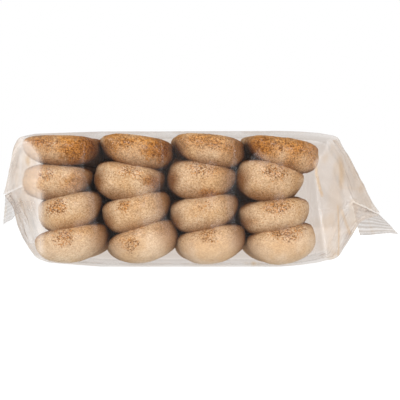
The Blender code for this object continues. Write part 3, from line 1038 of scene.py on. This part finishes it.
# Name, place, size, power, and whether it is mirrored in the film.
LIGHTS = (
    ("key", (-0.40, -1.10, 0.62), 0.5, 14.9, True),
    ("fill", (0.35, -1.2, 0.22), 0.5, 12.6, True),
    ("side_left", (-1.1, -0.65, 0.35), 0.5, 7.0, True),
    ("side_right", (1.1, -0.65, 0.35), 0.5, 7.0, True),
    ("top", (0.0, 0.25, 1.25), 0.6, 6.0, False),
    ("back", (0.2, 1.25, 0.45), 0.6, 9.0, False),
)


def build_floor():
    """A plain white floor."""
    mesh = bpy.data.meshes.new("floor")
    size = FLOOR_HALF_SIZE
    corners = [(-size, -size, 0), (size, -size, 0), (size, size, 0), (-size, size, 0)]
    mesh.from_pydata(corners, [], [(0, 1, 2, 3)])
    floor = bpy.data.objects.new("floor", mesh)
    made, _, _, shader = new_material("floor_white")
    shader.inputs["Base Color"].default_value = (FLOOR_ALBEDO, FLOOR_ALBEDO, FLOOR_ALBEDO, 1)
    shader.inputs["Roughness"].default_value = 0.9
    shader.inputs["Specular IOR Level"].default_value = 0.0
    shader.inputs["Emission Color"].default_value = (1, 1, 1, 1)
    shader.inputs["Emission Strength"].default_value = FLOOR_GLOW
    mesh.materials.append(made)
    bpy.context.scene.collection.objects.link(floor)


def build_world():
    """White surroundings: full white to the camera and in reflections, and a dim light otherwise."""
    world = bpy.data.worlds.new("white")
    world.use_nodes = True
    nodes, links = world.node_tree.nodes, world.node_tree.links
    white = nodes["Background"]
    white.inputs["Color"].default_value = (1, 1, 1, 1)
    white.inputs["Strength"].default_value = WORLD_SEEN
    soft = nodes.new("ShaderNodeBackground")
    soft.inputs["Color"].default_value = (1, 1, 1, 1)
    soft.inputs["Strength"].default_value = WORLD_LIGHT
    path = nodes.new("ShaderNodeLightPath")
    both = nodes.new("ShaderNodeMixShader")
    output = next(n for n in nodes if n.bl_idname == "ShaderNodeOutputWorld")
    bright = nodes.new("ShaderNodeMath")
    bright.operation = "MAXIMUM"
    links.new(path.outputs["Is Camera Ray"], bright.inputs[0])
    links.new(path.outputs["Is Glossy Ray"], bright.inputs[1])
    links.new(bright.outputs[0], both.inputs[0])
    links.new(soft.outputs[0], both.inputs[1])
    links.new(white.outputs[0], both.inputs[2])
    links.new(both.outputs[0], output.inputs["Surface"])
    bpy.context.scene.world = world


def area_light(name, location, size, power, mirrored):
    """A square soft light that faces the pack."""
    data = bpy.data.lights.new(name, "AREA")
    data.shape = "SQUARE"
    data.size = size
    data.energy = power
    made = bpy.data.objects.new(name, data)
    made.location = location
    aim = Vector(LIGHT_TARGET) - Vector(location)
    made.rotation_euler = aim.to_track_quat("-Z", "Y").to_euler()
    made.visible_glossy = mirrored
    bpy.context.scene.collection.objects.link(made)


CAMERA_DISTANCE = 1.0
CAMERA_HEIGHT = 0.0353
VIEW_WIDTH = 0.2188
SENSOR_WIDTH = 36.0


def build_camera():
    """A level camera before the middle of the pack's front."""
    data = bpy.data.cameras.new("camera")
    data.sensor_fit = "HORIZONTAL"
    data.sensor_width = SENSOR_WIDTH
    data.lens = SENSOR_WIDTH * CAMERA_DISTANCE / VIEW_WIDTH
    data.clip_end = 50
    made = bpy.data.objects.new("camera", data)
    made.location = (CENTRE_X * MM, -CAMERA_DISTANCE, CAMERA_HEIGHT)
    made.rotation_euler = (math.radians(90), 0, 0)
    bpy.context.scene.collection.objects.link(made)
    bpy.context.scene.camera = made


def main():
    sponge = sponge_material()
    film_look = film_material()
    for number in range(len(FINGERS)):
        build_finger(number, sponge)
    film = build_film(film_look, smooth_fingers_tree())
    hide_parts("bag")
    for name, station, cut_edge, dimming, crimp_depth in (
        ("seal_left", LEFT_END[0], LEFT_CUT_EDGE, 0.22, 0.04),
        ("seal_right", RIGHT_END[-1], RIGHT_CUT_EDGE, 0.75, 0.09),
    ):
        strip = seal(name, station, cut_edge, dimming, crimp_depth, film_look)
    build_floor()
    build_world()
    for light in LIGHTS:
        area_light(*light)
    build_camera()
    scene = bpy.context.scene
    scene.view_settings.view_transform = "Standard"
    scene.view_settings.look = "None"


main()
